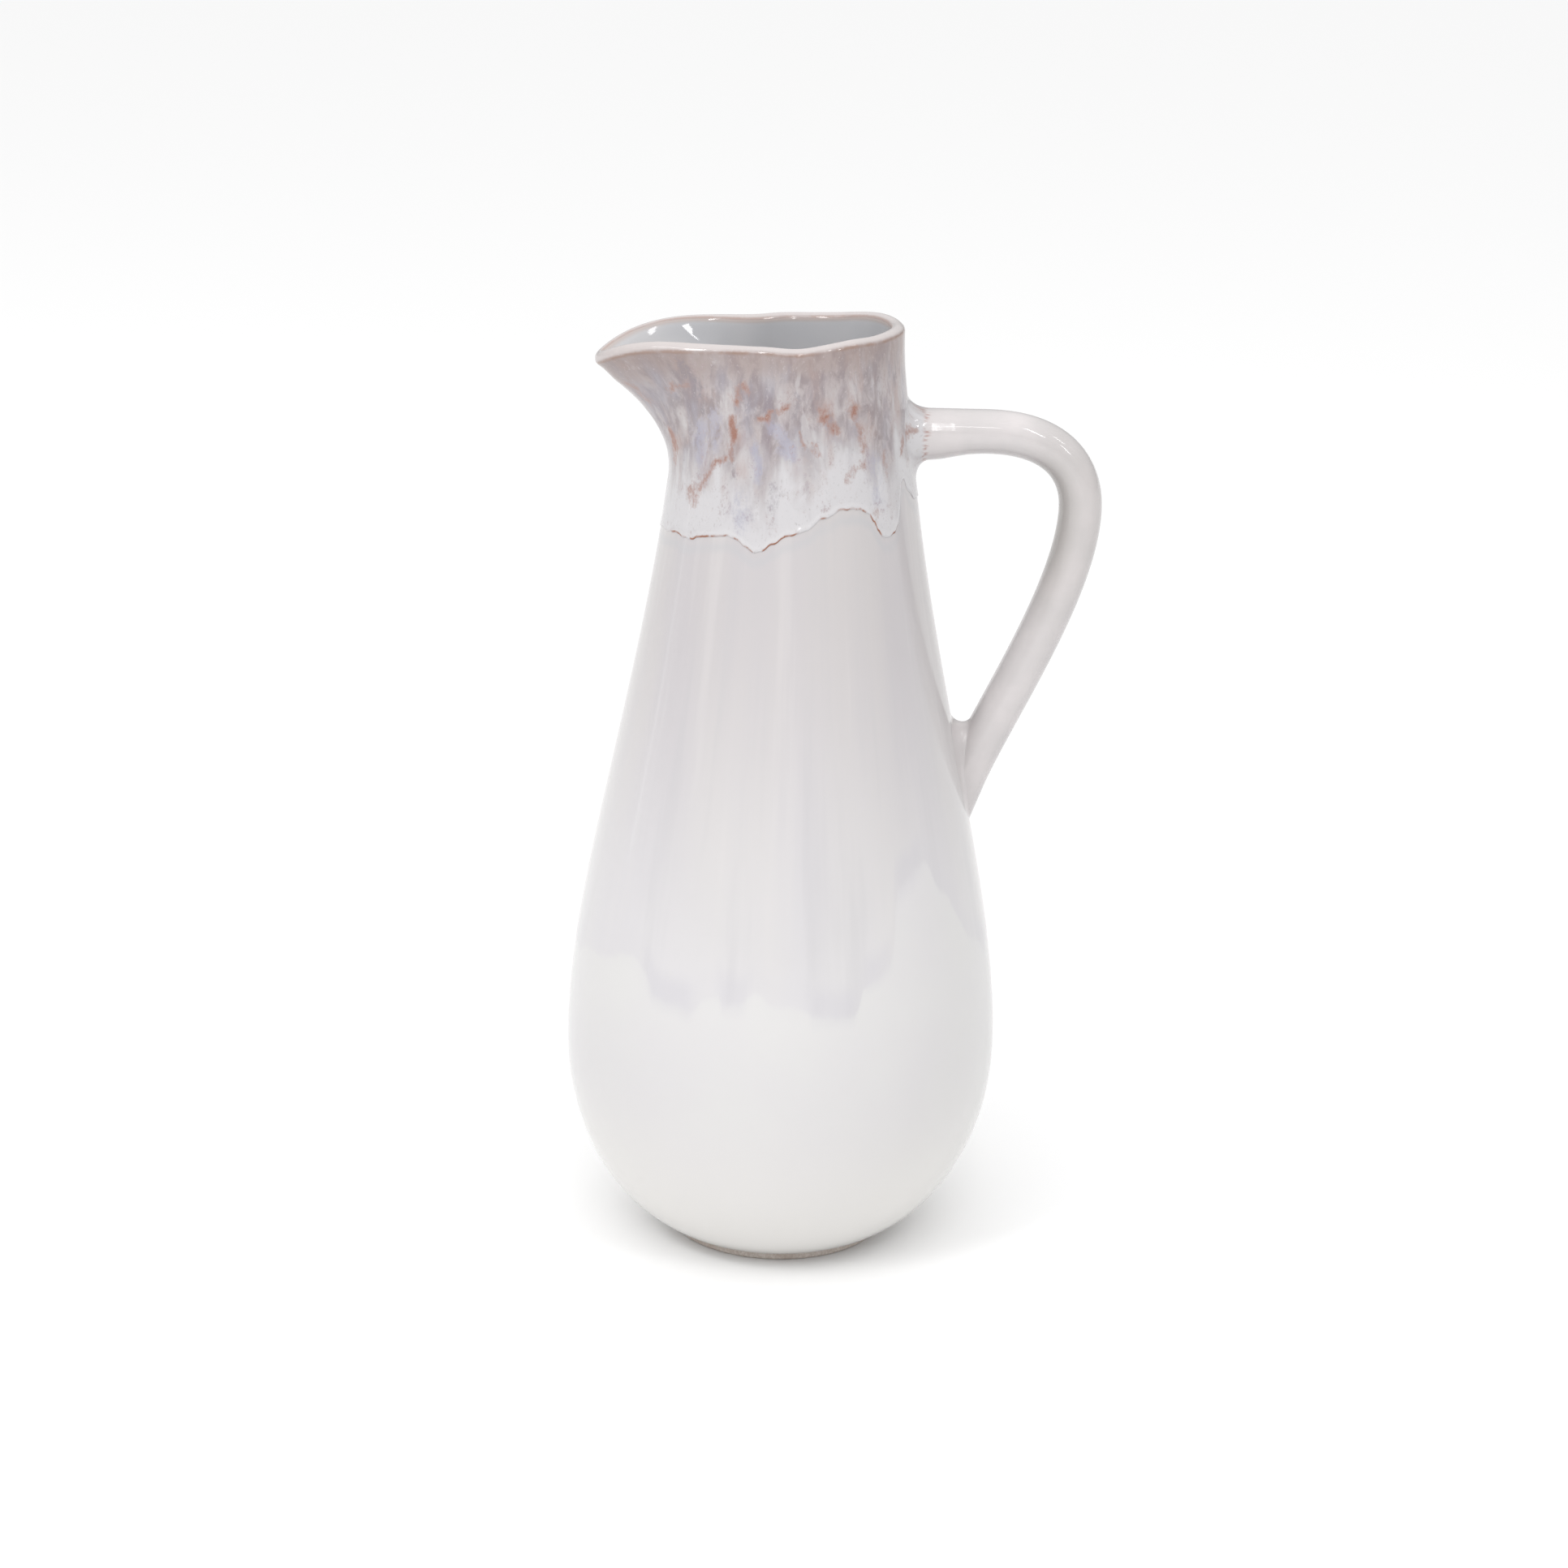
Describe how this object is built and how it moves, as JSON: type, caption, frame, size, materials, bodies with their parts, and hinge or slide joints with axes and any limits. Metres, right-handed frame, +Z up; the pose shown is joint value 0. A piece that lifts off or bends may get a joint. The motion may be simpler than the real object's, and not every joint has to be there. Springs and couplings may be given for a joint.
{
  "type": "pitcher",
  "caption": "Tall glazed stoneware pitcher with a pear-shaped body, pulled pouring spout, arched strap handle and low foot ring.",
  "frame": {"origin": "centre of the foot ring's flat face, the face that the pitcher stands on", "axes": "+Z up along the body's axis, +X towards the handle, -X towards the spout"},
  "size_m": [0.1669, 0.14, 0.3],
  "materials": {
    "body_glaze": "gloss",
    "collar_glaze": "gloss",
    "bare_stoneware": "matte"
  },
  "bodies": {
    "root": {"body": "body_glaze", "foot_ring": "bare_stoneware", "handle": "body_glaze", "upper_handle_join": "body_glaze", "lower_handle_join": "body_glaze", "neck_glaze": "collar_glaze"}
  },
  "joints": []
}
